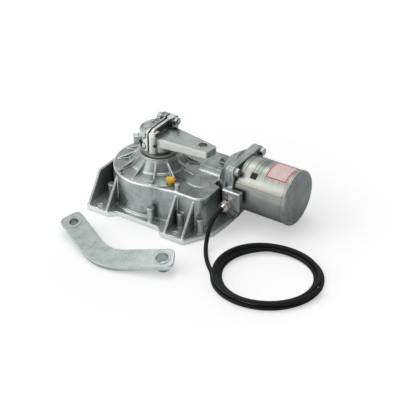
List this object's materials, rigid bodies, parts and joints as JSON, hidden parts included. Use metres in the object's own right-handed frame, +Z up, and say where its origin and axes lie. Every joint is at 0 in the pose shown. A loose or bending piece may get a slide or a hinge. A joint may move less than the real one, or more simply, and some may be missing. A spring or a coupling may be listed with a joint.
{
  "type": "underground gate operator",
  "caption": "Underground swing-gate operator: ribbed cast worm gearbox with flanged motor, clamped drive lever, loose bent link arm and coiled mains cable.",
  "frame": {"origin": "on the output shaft's axis, at the bottom cover's face that rests on the foundation box floor", "axes": "+Z up along the output shaft, +X along the motor, towards its end cap"},
  "size_m": [0.467, 0.3436, 0.154],
  "materials": {
    "cast_alloy": "raw die-cast alloy, bright on ribs and rims",
    "zinc_plate": "zinc-plated steel, mottled",
    "bright_steel": "brushed steel can",
    "dark_alloy": "darker cast end cap",
    "ground_steel": "ground steel shafts, keys and bearings",
    "core_steel": "laminated core steel",
    "copper_wire": "varnished copper winding",
    "bronze": "bronze wheels and bushes",
    "nickel_plate": "nickel-plated gland",
    "black_rubber": "black rubber",
    "black_plastic": "black moulded plastic",
    "yellow_plastic": "yellow moulded plastic, orange tip"
  },
  "bodies": {
    "gearbox": {"gearbox_housing": "cast_alloy", "bottom_cover": "cast_alloy", "worm_bore_cap": "cast_alloy", "motor_bell": "cast_alloy", "cable_entry_box": "cast_alloy", "cover_screws": "zinc_plate", "worm_cap_screws": "zinc_plate", "motor_flange_bolts": "zinc_plate", "cable_entry_screws": "zinc_plate", "motor_can": "bright_steel", "motor_end_cap": "dark_alloy", "worm_bearing_front": "ground_steel", "worm_bearing_rear": "ground_steel", "motor_bearing_front": "ground_steel", "motor_bearing_rear": "ground_steel", "stator_core": "core_steel", "stator_windings": "copper_wire", "output_bush_lower": "bronze", "output_bush_upper": "bronze", "cable_gland_body": "nickel_plate", "cable_gland_nut": "nickel_plate", "cover_gasket": "black_rubber", "output_seal": "black_rubber", "motor_shaft_seal": "black_rubber", "mains_cable": "black_rubber", "cable_coil": "black_rubber", "can_plug": "black_plastic", "vent_plug": "yellow_plastic"},
    "output": {"output_shaft": "ground_steel", "output_worm_wheel": "bronze", "wheel_key": "ground_steel", "spacer_sleeve": "ground_steel", "lever_key": "ground_steel", "drive_lever": "zinc_plate", "clamp_jaw": "zinc_plate", "jaw_set_bolt": "zinc_plate", "clamp_bolts": "zinc_plate", "clamp_nuts": "zinc_plate", "lever_bush": "ground_steel"},
    "cross_shaft": {"worm_shaft": "ground_steel", "first_worm_wheel": "bronze", "first_wheel_key": "ground_steel", "first_wheel_circlip": "ground_steel"},
    "rotor": {"motor_worm_shaft": "ground_steel", "rotor_core": "core_steel"},
    "link": {"link_arm": "zinc_plate", "link_bush_right": "zinc_plate", "link_bush_left": "zinc_plate"}
  },
  "joints": [
    {"name": "output_turn", "type": "hinge", "parent": "gearbox", "child": "output", "pos_m": [0, 0, 0], "axis": [0, 0, 1], "range_deg": [-55, 55]},
    {"name": "cross_shaft_spin", "type": "hinge", "parent": "gearbox", "child": "cross_shaft", "pos_m": [0.086, 0, 0.03], "axis": [0, 1, 0], "continuous": true},
    {"name": "motor_spin", "type": "hinge", "parent": "gearbox", "child": "rotor", "pos_m": [0, 0.049, 0.058], "axis": [1, 0, 0], "continuous": true},
    {"name": "link_lift", "type": "slide", "parent": "gearbox", "child": "link", "axis": [0, 0, 1], "range_m": [0, 0.15]}
  ],
  "couplings": [
    {"joint": "cross_shaft_spin", "follows": "output_turn", "ratio": -36},
    {"joint": "motor_spin", "follows": "output_turn", "ratio": 1152}
  ]
}
